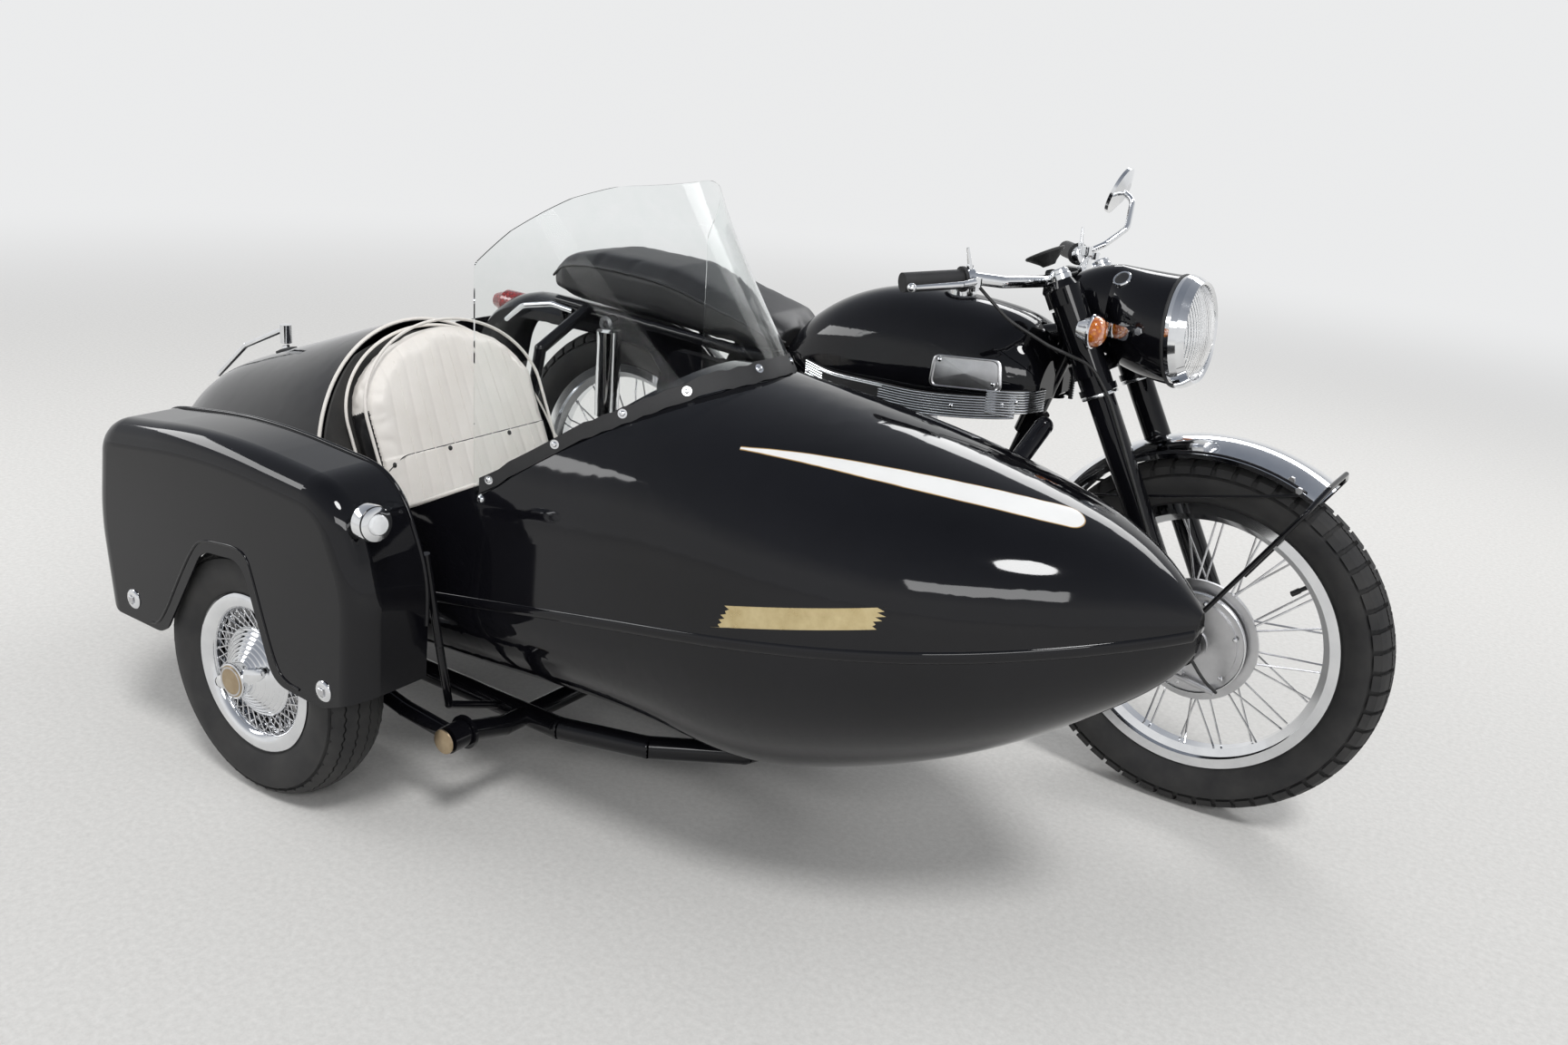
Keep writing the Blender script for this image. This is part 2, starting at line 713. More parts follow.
def weld(obj, distance=0.0001):
    """Join doubled points and turn every face outwards."""
    work = bmesh.new()
    work.from_mesh(obj.data)
    bmesh.ops.remove_doubles(work, verts=work.verts, dist=distance)
    bmesh.ops.recalc_face_normals(work, faces=work.faces)
    work.to_mesh(obj.data)
    work.free()


BACK_TILT = math.radians(22)
BACK_NORMAL = Vector((math.cos(BACK_TILT), 0, math.sin(BACK_TILT)))
BACK_UP = Vector((-math.sin(BACK_TILT), 0, math.cos(BACK_TILT)))
BACK_FOOT = place(172, -631, 425)


def back_outline(half, foot, knee, rise, depth, count=40):
    """Points round the back rest, in its own plane, sunk by depth behind the front face."""
    corner = BACK_FOOT - BACK_NORMAL * depth
    across = Vector((0, 1, 0))
    points = [corner + across * half + BACK_UP * foot]
    for i in range(count + 1):
        angle = math.pi * i / count
        points.append(corner + across * half * math.cos(angle) + BACK_UP * (knee + rise * math.sin(angle)))
    points.append(corner - across * half + BACK_UP * foot)
    return points


def tube_along(name, points, radius, mat, body, closed=False):
    """Round cord or bead along a smooth line through points."""
    data = bpy.data.curves.new(name, "CURVE")
    data.dimensions = "3D"
    data.bevel_depth = radius
    data.bevel_resolution = 3
    data.resolution_u = 8
    data.use_fill_caps = True
    spline = data.splines.new("NURBS")
    spline.points.add(len(points) - 1)
    for slot_point, p in zip(spline.points, points):
        slot_point.co = (p.x, p.y, p.z, 1.0)
    spline.order_u = 3
    spline.use_cyclic_u = closed
    spline.use_endpoint_u = not closed
    obj = put(name, data)
    data.materials.append(MATERIALS[mat])
    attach(obj, body)
    return obj


PLEAT_PITCH = 0.053
PLEAT_DEPTH = 0.005
POCKET_TOP = 0.150
# Where the pocket's snaps sit: share of the width from the near side, height up the back in metres
SNAPS = ((0.055, 0.138), (0.355, 0.143), (0.71, 0.143))


# The pleats draw together towards the top: share lost, and the height over which it is lost
BACK_TAPER = 0.22
BACK_TALL = 0.38
# Padding: voxel, pressure inside and depth of the face on which the pleats fade out, metres
PAD_VOXEL = 0.006
PAD_PRESSURE = 4.0
FACE_DEEP = 0.03
FACE_FADE = 0.02
PIPING_R = 0.003


def share_of(value):
    """Value held between 0 and 1."""
    return min(1.0, max(0.0, value))


def pleat(across):
    """Depth of the pleated face at a distance from its middle."""
    phase = abs(math.sin(math.pi * (across / PLEAT_PITCH + 0.5)))
    return (1.0 - phase ** 0.35) * PLEAT_DEPTH


def seat_back():
    """Cream back rest: stuffed pad with upright pleats, a pocket and piping."""
    half, knee, rise, thick = 0.216, 0.222, 0.156, 0.062
    form = closed_slab(back_outline(half, 0.008, knee, rise, 0.008), BACK_NORMAL, thick)
    obj = form.object("seat_back_pad", "cream_vinyl", None)
    weld(obj)
    cloth_inflate(obj, PAD_VOXEL, PAD_PRESSURE, 0.012)
    across_at = BACK_FOOT.y
    for vertex in obj.data.vertices:
        off = vertex.co - BACK_FOOT
        depth = -off.dot(BACK_NORMAL)
        if depth > FACE_DEEP:
            continue
        height = off.dot(BACK_UP)
        lean = 1.0 - BACK_TAPER * max(0.0, height) / BACK_TALL
        across = (vertex.co.y - across_at) / lean
        fade = share_of((FACE_DEEP - depth) / FACE_FADE)
        edge = share_of((half - FACE_FADE - abs(vertex.co.y - across_at)) / FACE_FADE)
        groove = pleat(across) * fade * edge
        pocket = 0.0
        if 0.0 < height < POCKET_TOP and abs(vertex.co.y - across_at) < half - 0.012:
            pocket = 0.0022 * fade
        vertex.co += BACK_NORMAL * (pocket - groove)
    stands_for("seat_back")
    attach(obj, "chassis")
    obj.data.materials.append(MATERIALS["black_leatherette"])
    for polygon in obj.data.polygons:
        off = polygon.center - BACK_FOOT
        side_on = abs(polygon.normal.dot(BACK_NORMAL)) < 0.5
        if side_on and off.dot(BACK_NORMAL) < -0.016 and off.dot(BACK_UP) < knee + 0.02:
            polygon.material_index = 1
    for depth, label in ((0.006, "front"), (0.062, "rear")):
        line = back_outline(half + 0.004, 0.004, knee, rise + 0.004, depth, 24)
        tube_along(f"seat_back_piping_{label}", line, PIPING_R, "cream_vinyl", "chassis")
    seat_seams(obj, half, knee, rise)


def seat_seams(pad, half, knee, rise):
    """Sewn welts along the pleats, the pocket's hem and its dark snaps, laid on the pad's face."""
    points = [v.co.copy() for v in pad.data.vertices]
    faces = [tuple(p.vertices) for p in pad.data.polygons]
    tree = BVHTree.FromPolygons(points, faces)

    def on_pad(across, height, lift):
        start = BACK_FOOT + LEFT * across + BACK_UP * height + BACK_NORMAL * 0.2
        spot, _, _, _ = tree.ray_cast(start, -BACK_NORMAL)
        return None if spot is None else spot + BACK_NORMAL * lift

    for index in range(-3, 4):
        line = []
        for k in range(23):
            height = 0.014 + 0.355 * k / 22
            lean = 1.0 - BACK_TAPER * height / BACK_TALL
            across = index * PLEAT_PITCH * lean
            top = knee + rise * math.sqrt(max(0.0, 1 - (across / half) ** 2)) - 0.022
            spot = on_pad(across, height, 0.0002)
            if height < top and spot is not None:
                line.append(spot)
        tube_along(f"seat_back_welt_{index + 4}", line, 0.0011, "cream_vinyl", "chassis")
    hem = []
    for k in range(31):
        across = -half + 0.014 + (2 * half - 0.028) * k / 30
        drop = 0.020 * max(0.0, 1 - k / 3) ** 2
        spot = on_pad(across, POCKET_TOP - drop, 0.0004)
        if spot is not None:
            hem.append(spot)
    tube_along("seat_back_pocket_hem", hem, 0.0010, "seat_ply", "chassis")
    snaps = Form()
    for share, height in SNAPS:
        spot = on_pad(-half + 2 * half * share, height, 0.0)
        screw_head(snaps, spot, BACK_NORMAL, 0.0048, 0.0022)
    snaps.object("seat_back_snaps", "seat_ply", "chassis", 30)


def seat_cushion():
    """Cream cushion, crowned, with the same pleats."""
    low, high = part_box("seat_cushion")
    form = Form()
    inset = 0.012
    corner_r = 0.03
    outline = []
    x0, x1 = low.x + inset, high.x - inset
    y0, y1 = low.y + inset, high.y - inset
    for cx, cy, start in ((x1 - corner_r, y1 - corner_r, 0), (x0 + corner_r, y1 - corner_r, 1),
                          (x0 + corner_r, y0 + corner_r, 2), (x1 - corner_r, y0 + corner_r, 3)):
        for i in range(7):
            angle = math.pi / 2 * (start + i / 6)
            outline.append(Vector((cx + corner_r * math.cos(angle), cy + corner_r * math.sin(angle),
                                   high.z - inset)))
    form = closed_slab(outline, Vector((0, 0, 1)), high.z - low.z - inset - 0.004)
    obj = form.object("seat_cushion_pad", "cream_vinyl", None)
    weld(obj)
    cloth_inflate(obj, PAD_VOXEL, PAD_PRESSURE, 0.012)
    middle = (low.y + high.y) / 2
    for vertex in obj.data.vertices:
        vertex.co.z -= pleat(vertex.co.y - middle) * share_of((vertex.co.z - high.z + 0.035) / FACE_FADE)
        vertex.co.z = max(vertex.co.z, low.z)
    stands_for("seat_cushion")
    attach(obj, "chassis")
    ring = [p + Vector((0, 0, 0.002)) for p in outline]
    tube_along("seat_cushion_piping", ring, PIPING_R, "cream_vinyl", "chassis", closed=True)


def dual_seat():
    """Black two-level seat: stuffed pad with piping round its top and a plain side band."""
    low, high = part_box("dual_seat")
    # x, half width, lowest z, highest z in millimetres of the model's coordinates
    sections = [(446, 78, 714, 752), (400, 108, 714, 776), (290, 120, 718, 802), (150, 122, 725, 838),
                (-60, 120, 734, 842), (-150, 108, 738, 826), (-190, 84, 740, 796)]
    form = Form()
    rows = []
    for x, half, z0, z1 in sections:
        row = []
        middle, rise = (z0 + z1) / 2, (z1 - z0) / 2
        power = 4.0
        for i in range(36):
            angle = math.tau * i / 36
            c, d = math.cos(angle), math.sin(angle)
            row.append(place(x, half * math.copysign(abs(c) ** (2 / power), c),
                             middle + rise * math.copysign(abs(d) ** (2 / power), d)))
        rows.append(row)
    form.loft(rows, close_columns=True)
    obj = form.object("dual_seat_pad", "black_leatherette", None)
    weld(obj)
    cloth_inflate(obj, PAD_VOXEL, PAD_PRESSURE, 0.007)
    for vertex in obj.data.vertices:
        vertex.co.x = min(max(vertex.co.x, low.x), high.x)
        vertex.co.z = min(vertex.co.z, high.z + 0.004)
    stands_for("dual_seat")
    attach(obj, "chassis")
    for side in (-1, 1):
        line = [place(x, side * (half - 3), z1 - 20) for x, half, z0, z1 in sections]
        tube_along(f"dual_seat_piping_{side_name(side)}", line, 0.0028,
                   "black_leatherette", "chassis")


# Trim laid on the panels

class Skin:
    """Outer surface of CAD nodes, on which trim is laid."""

    def __init__(self, *nodes):
        points = []
        faces = []
        for node in nodes:
            obj = frame["nodes"][node]
            start = len(points)
            points += [obj.matrix_world @ v.co for v in obj.data.vertices]
            faces += [tuple(start + i for i in p.vertices) for p in obj.data.polygons]
        self.tree = BVHTree.FromPolygons(points, faces)

    def hit(self, origin, ahead):
        """Where a ray first meets the surface, and the surface's normal turned towards the ray's start."""
        spot, normal, _, _ = self.tree.ray_cast(origin, ahead)
        if spot is not None and normal.dot(ahead) > 0:
            normal = -normal
        return spot, normal

    def near(self, point):
        spot, normal, _, _ = self.tree.find_nearest(point)
        return spot, normal


DOWN = Vector((0, 0, -1))
LEFT = Vector((0, 1, 0))


def level_part(normal):
    """Level direction of a normal."""
    return Vector((normal.x, normal.y, 0)).normalized()


def smooth(points, steps):
    """Points along a smooth line through the given ones."""
    ends = [2 * points[0] - points[1]] + points + [2 * points[-1] - points[-2]]
    line = []
    for a, b, c, d in zip(ends, ends[1:], ends[2:], ends[3:]):
        for i in range(steps):
            t = i / steps
            line.append((2 * b + (c - a) * t + (2 * a - 5 * b + 4 * c - d) * t * t
                         + (3 * b - a - 3 * c + d) * t ** 3) / 2)
    line.append(points[-1])
    return line


def laid(name, rows, skin, ahead, lift, mat, body):
    """Thin sheet over a grid of start points, each dropped on the skin and lifted off it."""
    top = []
    for row in rows:
        line = []
        for start in row:
            spot, normal = skin.hit(start, ahead)
            if spot is None:
                spot, normal = skin.near(start)
            line.append(spot + normal * lift)
        top.append(line)
    form = Form()
    form.grid(top)
    under = [[p + ahead * (lift + 0.0004) for p in row] for row in top]
    form.grid([sheet[0] + [row[-1] for row in sheet[1:-1]] + sheet[-1][::-1]
               + [row[0] for row in sheet[-2:0:-1]] for sheet in (top, under)], close_columns=True)
    return form.object(name, mat, body, 40)


# Middle of the painted flash in plan and its half width, mm of the model's coordinates, from the tail forward
FLASH = [(874, -828, 1.2), (970, -807, 7.5), (1083, -780, 13.5), (1189, -746, 18), (1289, -704, 21),
         (1336, -679, 22)]
FLASH_LINE = 1.6


def paint_flash():
    """White comet-shaped flash on the near side of the nose, with its gold line."""
    skin = Skin("body_upper")
    middle = smooth([Vector((x, y, half)) for x, y, half in FLASH], 12)
    for name, grow, lift, mat in (("flash_gold_line", FLASH_LINE, 0.00012, "gold_line"),
                                  ("flash_white", 0.0, 0.00030, "cream_paint")):
        rows = []
        stations = [(p, 1.0) for p in middle]
        tip_half = middle[-1].z + grow
        run = (middle[-1] - middle[-2]).normalized()
        for i in range(1, 13):
            angle = math.pi / 2 * i / 12
            ahead = tip_half * math.sin(angle) * 0.99
            stations.append((middle[-1] + Vector((run.x, run.y, 0)).normalized() * ahead,
                             max(0.02, math.cos(angle))))
        for i, (p, share) in enumerate(stations):
            before = stations[max(0, i - 1)][0]
            after = stations[min(len(stations) - 1, i + 1)][0]
            run = Vector((after.x - before.x, after.y - before.y, 0)).normalized()
            across = Vector((-run.y, run.x, 0))
            half = (middle[min(i, len(middle) - 1)].z + grow) * share
            row = []
            for k in range(-5, 6):
                q = p + across * (half * k / 5)
                row.append(place(q.x, q.y, 1000))
            rows.append(row)
        laid(name, rows, skin, DOWN, lift, mat, "chassis")


# Corners of the gold plate on the near side, (x, z) in mm, and how far each tooth of its ragged ends reaches
PLATE_REAR = ((929, 513), (946, 553))
PLATE_FRONT = ((1160, 575), (1166, 610))
REAR_TEETH = (16, 0, 6, 1, 8, 0, 9, 1, 5, 0, 10)
FRONT_TEETH = (8, 1, 5, 0, 12, 1, 15, 2, 11, 0, 14)


def gold_badge():
    """Bare gold plate above the seam, ragged at both ends as if brushed on."""
    skin = Skin("body_upper")
    rows = []
    count = len(REAR_TEETH)
    for k in range(count):
        share = k / (count - 1)
        rear_x = PLATE_REAR[0][0] + (PLATE_REAR[1][0] - PLATE_REAR[0][0]) * share - REAR_TEETH[k]
        rear_z = PLATE_REAR[0][1] + (PLATE_REAR[1][1] - PLATE_REAR[0][1]) * share
        front_x = PLATE_FRONT[0][0] + (PLATE_FRONT[1][0] - PLATE_FRONT[0][0]) * share + FRONT_TEETH[k]
        front_z = PLATE_FRONT[0][1] + (PLATE_FRONT[1][1] - PLATE_FRONT[0][1]) * share
        row = []
        for i in range(25):
            t = i / 24
            row.append(place(rear_x + (front_x - rear_x) * t, -1200, rear_z + (front_z - rear_z) * t))
        rows.append(row)
    laid("gold_side_plate", rows, skin, LEFT, 0.0004, "gold", "chassis")


def turned(form, profile, centre, axis, count=48):
    """Profile of (radius, height) turned about an axis through a point."""
    axis = axis.normalized()
    side = axis.orthogonal().normalized()
    other = axis.cross(side)
    rows = []
    for i in range(count):
        angle = math.tau * i / count
        out = side * math.cos(angle) + other * math.sin(angle)
        rows.append([centre + out * r + axis * h for r, h in profile])
    form.grid(rows, close_rows=True)


def revolved(name, profile, centre, axis, mat, body, count=48):
    """One turned piece."""
    form = Form()
    turned(form, profile, centre, axis, count)
    return form.object(name, mat, body, 35)


def rod(form, start, end, radius, sides=6):
    """Straight wire between two points."""
    length = (end - start).length
    profile = [(0.0001, 0.0), (radius, 0.0), (radius, length), (0.0001, length)]
    turned(form, profile, start, end - start, sides)


def screw_head(form, centre, axis, radius, height, washer=0.0):
    """Domed screw head, with a flat washer under it when washer is its radius."""
    profile = [(radius, 0.0), (radius * 0.94, height * 0.45), (radius * 0.7, height * 0.85),
               (radius * 0.35, height), (radius * 0.02, height)]
    if washer:
        lip = height * 0.25
        profile = [(washer, -0.001), (washer, lip), (radius, lip)] + [(r, h + lip) for r, h in profile[1:]]
    turned(form, profile, centre, axis, 20)


def nut(form, centre, axis, radius, height, sides=6):
    """Nut standing on a surface, six-sided or square."""
    turned(form, [(radius, -0.001), (radius, height * 0.85), (radius * 0.88, height), (0.0002, height)],
           centre, axis, sides)


# Windscreen strip: its height up the screen and how far it stands off, in metres
STRIP_TALL = 0.026
STRIP_OFF = 0.0022
SCREEN_AXIS = place(470, -631, 0)
# How far the screen's foot reaches round, its topmost level, and how far out the casts start, metres
SCREEN_SWEEP = 96
SCREEN_TOP = 0.86
CAST_OUT = 0.9


def screen_foot(skin, base):
    """Foot of the windscreen on its outer side, from the near rear end round the front to the far one."""
    line = []
    for i in range(61):
        angle = math.radians(SCREEN_SWEEP * (i / 30 - 1))
        out = Vector((math.cos(angle), math.sin(angle), 0))
        found = None
        for k in range(80):
            z = SCREEN_TOP - 0.005 * k
            start = Vector((SCREEN_AXIS.x, SCREEN_AXIS.y, z)) + out * CAST_OUT
            spot, normal = skin.hit(start, -out)
            blocked, _ = base.hit(start, -out)
            if spot is None:
                break
            if blocked is not None and (blocked - start).length < (spot - start).length + 0.001:
                break
            found = spot, normal, out
        if found:
            line.append(found)
    return line


def screen_strip():
    """Black rubber strip along the windscreen's foot, with its dome screws and washers."""
    skin = Skin("windscreen")
    base = Skin("body_upper")
    foot = screen_foot(skin, base)
    form = Form()
    rows = []
    spots = []
    for spot, normal, out in foot:
        outer = Vector((normal.x, normal.y, normal.z))
        row = []
        for k in range(6):
            level = spot.z - 0.003 + STRIP_TALL * k / 5
            start = Vector((SCREEN_AXIS.x, SCREEN_AXIS.y, level)) + out * CAST_OUT
            place_on, facing = skin.hit(start, -out)
            if place_on is None:
                place_on, facing = spot + Vector((0, 0, level - spot.z)), outer
            row.append(place_on + facing * STRIP_OFF)
        inner = [p - outer * (STRIP_OFF * 0.8) for p in (row[-1], row[0])]
        rows.append([inner[1]] + row + [inner[0]])
        spots.append((row[3], outer))
    form.loft(rows)
    form.object("screen_foot_strip", "black_rubber", "chassis", 40)
    screws = Form()
    count = len(spots)
    for share in (0.03, 0.14, 0.25, 0.36, 0.47, 0.58, 0.69, 0.80, 0.91):
        spot, normal = spots[int(share * (count - 1))]
        screw_head(screws, spot, normal, 0.0045, 0.003, washer=0.0075)
    screws.object("screen_strip_screws", "chrome", "chassis", 30)


# Ribbed band on the tank: x and height of its middle, mm, from the rear to the nose
BAND = [(530, 698), (600, 689), (700, 689), (793, 690), (900, 701), (985, 714)]
BAND_NOSE = [(-75, 718), (-60, 722), (-45, 725), (-30, 727)]
BAND_HALF = 22
BAND_RIBS = 9
BAND_CENTRE = place(900, 0, 0)


def band_line(skin, side):
    """Middle of the band on one side of the tank, with the outward direction at each point."""
    line = []
    for x, z in BAND:
        start = place(x, side * 400, 735)
        spot, normal = skin.hit(start, Vector((0, -side, 0)))
        line.append((Vector((spot.x, spot.y, z / 1000)), level_part(normal)))
    for degrees, z in BAND_NOSE:
        angle = math.radians(degrees)
        out = Vector((math.cos(angle), -side * math.sin(angle), 0))
        start = Vector((BAND_CENTRE.x, BAND_CENTRE.y, 0.745)) + out * 0.4
        spot, normal = skin.hit(start, -out)
        if spot is None:
            continue
        line.append((Vector((spot.x, spot.y, z / 1000)), level_part(normal)))
    points = smooth([p for p, _ in line], 10)
    outs = smooth([n for _, n in line], 10)
    return [(p, n.normalized()) for p, n in zip(points, outs)]


def tank_band(side):
    """Polished aluminium band with fine level ribs, a black inlay and its screws."""
    label = side_name(side)
    skin = Skin("fuel_tank")
    line = band_line(skin, side)
    up = Vector((0, 0, 1))
    half = BAND_HALF / 1000
    pitch = 2 * half / BAND_RIBS
    bed = Form()
    rows = [[p + up * h + out * off for h, off in
             ((-half, -0.004), (-half, 0.0032), (half, 0.0032), (half, -0.004))] for p, out in line]
    bed.loft(rows)
    bed.object(f"tank_band_bed_{label}", "cast_fins", "chassis", 40)
    ribs = Form()
    for k in range(BAND_RIBS):
        low = -half + k * pitch
        rows = [[p + up * (low + pitch * share) + out * off for share, off in
                 ((0.12, 0.003), (0.24, 0.0056), (0.5, 0.0062), (0.76, 0.0056), (0.88, 0.003))]
                for p, out in line]
        ribs.loft(rows)
    ribs.object(f"tank_band_ribs_{label}", "polished", "chassis", 40)
    inlay = Form()
    first, last = int(len(line) * 0.08), int(len(line) * 0.25)
    inlay_rows = []
    for p, out in line[first:last]:
        inlay_rows.append([p + up * h + out * off for h, off in
                           ((-half * 0.62, 0.004), (-half * 0.62, 0.0068), (half * 0.62, 0.0068),
                            (half * 0.62, 0.004))])
    inlay.loft(inlay_rows)
    inlay.object(f"tank_band_inlay_{label}", "black_rubber", "chassis", 30)
    frame_form = Form()
    for h in (-half * 0.72, half * 0.72):
        rows = []
        for p, out in line[max(0, first - 1):last + 1]:
            centre = p + up * h + out * 0.0062
            rows.append([centre + up * 0.0018 * math.cos(a) + out * 0.0016 * math.sin(a)
                         for a in (0, 0.8, 1.6, 2.4, 3.1)])
        frame_form.grid(rows)
    frame_form.object(f"tank_band_frame_{label}", "chrome", "chassis", 40)
    screws = Form()
    for share in (0.02, 0.42, 0.62, 0.84):
        p, out = line[int(share * (len(line) - 1))]
        screw_head(screws, p + out * 0.0058, out, 0.0042, 0.0022)
    screws.object(f"tank_band_screws_{label}", "chrome", "chassis", 30)


# Badge plate on the tank, (x, z) of its corners in mm
BADGE = ((817, 727), (962, 740), (951, 795), (819, 786))


def rounded_quad(corners, radius, steps=6):
    """Outline of a four-cornered plate with rounded corners, in its own plane."""
    line = []
    count = len(corners)
    for i, corner in enumerate(corners):
        a = Vector(corners[i - 1])
        b = Vector(corner)
        c = Vector(corners[(i + 1) % count])
        into = (a - b).normalized() * radius
        onto = (c - b).normalized() * radius
        for k in range(steps + 1):
            t = k / steps
            line.append(b + into * (1 - t) ** 2 + onto * t ** 2)
    return line


def tank_badge(side):
    """Bare satin badge plate with a raised rounded edge and two screws."""
    label = side_name(side)
    skin = Skin("fuel_tank")
    outline = rounded_quad(BADGE, 14)
    centre = sum(outline, Vector((0, 0))) / len(outline)
    ahead = Vector((0, -side, 0))

    def on_tank(flat, lift):
        spot, normal = skin.hit(place(flat.x, side * 400, flat.y), ahead)
        return spot + normal * lift, normal

    rows = []
    # share of the way out from the middle, and height off the tank in metres
    for share, lift in ((0.02, 0.0034), (0.45, 0.0033), (0.86, 0.0030), (0.90, 0.0032), (0.93, 0.0052),
                        (0.97, 0.0055), (1.0, 0.0046), (1.0, -0.001)):
        rows.append([on_tank(centre + (p - centre) * share, lift)[0] for p in outline])
    form = Form()
    form.grid(rows, close_columns=True)
    form.cap(rows[0])
    form.object(f"badge_plate_{label}", "satin_alloy", "chassis", 30)
    screws = Form()
    for x, z in ((832, 778), (944, 751)):
        spot, normal = on_tank(Vector((x, z)), 0.0032)
        screw_head(screws, spot, normal, 0.0045, 0.0022)
    screws.object(f"badge_screws_{label}", "chrome", "chassis", 30)


# Head lamp: centre and axis of its face, and its glass

LAMP_TILT = math.radians(5)
LAMP_AXIS = Vector((math.cos(LAMP_TILT), 0, math.sin(LAMP_TILT)))
LAMP_FACE = place(1237, 0, 885)
GLASS_R = 0.0836
GLASS_EDGE = 0.0263
GLASS_SAG = 0.022
GLASS_T = 0.003


def head_lamp():
    """Domed fluted glass over a bright reflector bowl with its bulb."""
    sphere = (GLASS_R ** 2 + GLASS_SAG ** 2) / (2 * GLASS_SAG)
    steps = [GLASS_R * i / 14 for i in range(15)]
    steps[0] = 0.0002
    outer = [(r, GLASS_EDGE + GLASS_SAG - sphere + math.sqrt(sphere ** 2 - r ** 2)) for r in steps]
    inner = [(r, h - GLASS_T) for r, h in outer]
    glass = revolved("head_lamp_glass", inner + outer[::-1], LAMP_FACE, LAMP_AXIS, "lamp_glass",
                     "steering", 72)
    stands_for("lamp_lens")
    bowl_r = GLASS_R - 0.002
    bowl = [(r * bowl_r / GLASS_R, 0.0035 + 0.0175 * (r / GLASS_R) ** 2) for r in steps]
    behind = [(r, h - 0.001) for r, h in bowl]
    revolved("head_lamp_reflector", bowl + behind[::-1], LAMP_FACE, LAMP_AXIS, "polished",
             "steering", 72)
    revolved("head_lamp_bulb", [(0.0095, 0.004), (0.0095, 0.013), (0.0068, 0.0185), (0.0002, 0.0205)],
             LAMP_FACE, LAMP_AXIS, "frosted", "steering", 24)


# Fork, in its own slanted frame

RAKE = math.radians(28)
FORK_UP = Vector((-math.sin(RAKE), 0, math.cos(RAKE)))


def fork_point(along, y):
    """Point on a fork leg, in millimetres up from the axle."""
    return place(WHEELBASE * 1000, y, TYRE_R * 1000) + FORK_UP * (along / 1000)


def fork_trim():
    """Bright top nuts, collar rings and the steering damper's dished knob."""
    nuts = Form()
    rings = Form()
    for y in (-96, 96):
        turned(nuts, [(0.0002, 0.0), (0.0185, 0.0), (0.0185, 0.009), (0.0165, 0.011), (0.0165, 0.017),
                      (0.0135, 0.0195), (0.0002, 0.0205)], fork_point(700, y), FORK_UP, 36)
        turned(rings, [(0.0265, 0.0), (0.0325, 0.0), (0.0332, 0.0025), (0.0325, 0.0055), (0.0265, 0.0055)],
               fork_point(481, y), FORK_UP, 48)
    nuts.object("fork_top_nuts", "chrome", "steering", 30)
    rings.object("fork_collar_rings", "polished", "steering", 30)
    dish = [(0.0002, 0.0), (0.012, 0.0), (0.016, 0.005), (0.034, 0.019), (0.0375, 0.021), (0.0385, 0.024),
            (0.0365, 0.026), (0.030, 0.0235), (0.012, 0.020), (0.010, 0.0235), (0.0002, 0.0245)]
    revolved("steering_damper_knob", dish, place(968, 0, 962), FORK_UP, "cast_fins", "steering")


# Turn signals: centre of the bowls' mouths, mm

SIGNAL_X = 1138
SIGNAL_Y = 172
SIGNAL_Z = 890


def signal_domes():
    """Amber domes with a chromed lip, on both sides."""
    domes = Form()
    lips = Form()
    ahead = Vector((1, 0, 0))
    for side in (-1, 1):
        centre = place(SIGNAL_X, side * SIGNAL_Y, SIGNAL_Z)
        turned(domes, [(0.0002, 0.001), (0.0265, 0.001), (0.0270, 0.005), (0.0250, 0.011), (0.0200, 0.017),
                       (0.0120, 0.0213), (0.0002, 0.0228)], centre, ahead, 40)
        turned(lips, [(0.0285, -0.004), (0.0300, -0.002), (0.0300, 0.0015), (0.0275, 0.0025),
                      (0.0262, 0.001)], centre, ahead, 40)
        inner = place(1124, side * 118, SIGNAL_Z)
        turned(domes, [(0.0002, 0.0003), (0.0112, 0.0003), (0.0116, 0.002), (0.0116, 0.021), (0.0108, 0.0233),
                       (0.0002, 0.0236)], inner, Vector((0, side, 0)), 32)
    obj = domes.object("signal_domes", "amber_lens", "steering", 35)
    stands_for("turn_lenses")
    lips.object("signal_lips", "chrome", "steering", 35)


# Sidecar wheel: radius and height out from the wheel's middle, in metres

TRIM_RING = [(0.1425, 0.0440), (0.1440, 0.0495), (0.1400, 0.0525), (0.1330, 0.0535), (0.1240, 0.0515),
             (0.1165, 0.0465), (0.1125, 0.0385), (0.1120, 0.0300), (0.1140, 0.0300)]
CONE_OUT = (0.0820, 0.0370)
CONE_IN = (0.0320, 0.0665)
CONE_RIBS = 7
WIRE_COUNT = 36
WIRE_LEAN = 0.27
EAR_TURN = (0.42, 0.42 + math.pi)


def wheel_cone():
    """Profile of the ribbed cone between the wires and the spinner."""
    line = [(0.0700, 0.0290), (0.0805, 0.0330)]
    for k in range(CONE_RIBS):
        for share, rise in ((0.08, 0.0), (0.35, 0.0022), (0.65, 0.0022), (0.92, 0.0)):
            t = (k + share) / CONE_RIBS
            line.append((CONE_OUT[0] + (CONE_IN[0] - CONE_OUT[0]) * t,
                         CONE_OUT[1] + (CONE_IN[1] - CONE_OUT[1]) * t + rise))
    return line + [(0.0300, 0.0690), (0.0295, 0.0800), (0.0310, 0.0830), (0.0310, 0.0885), (0.0285, 0.0900),
                   (0.0270, 0.0870)]


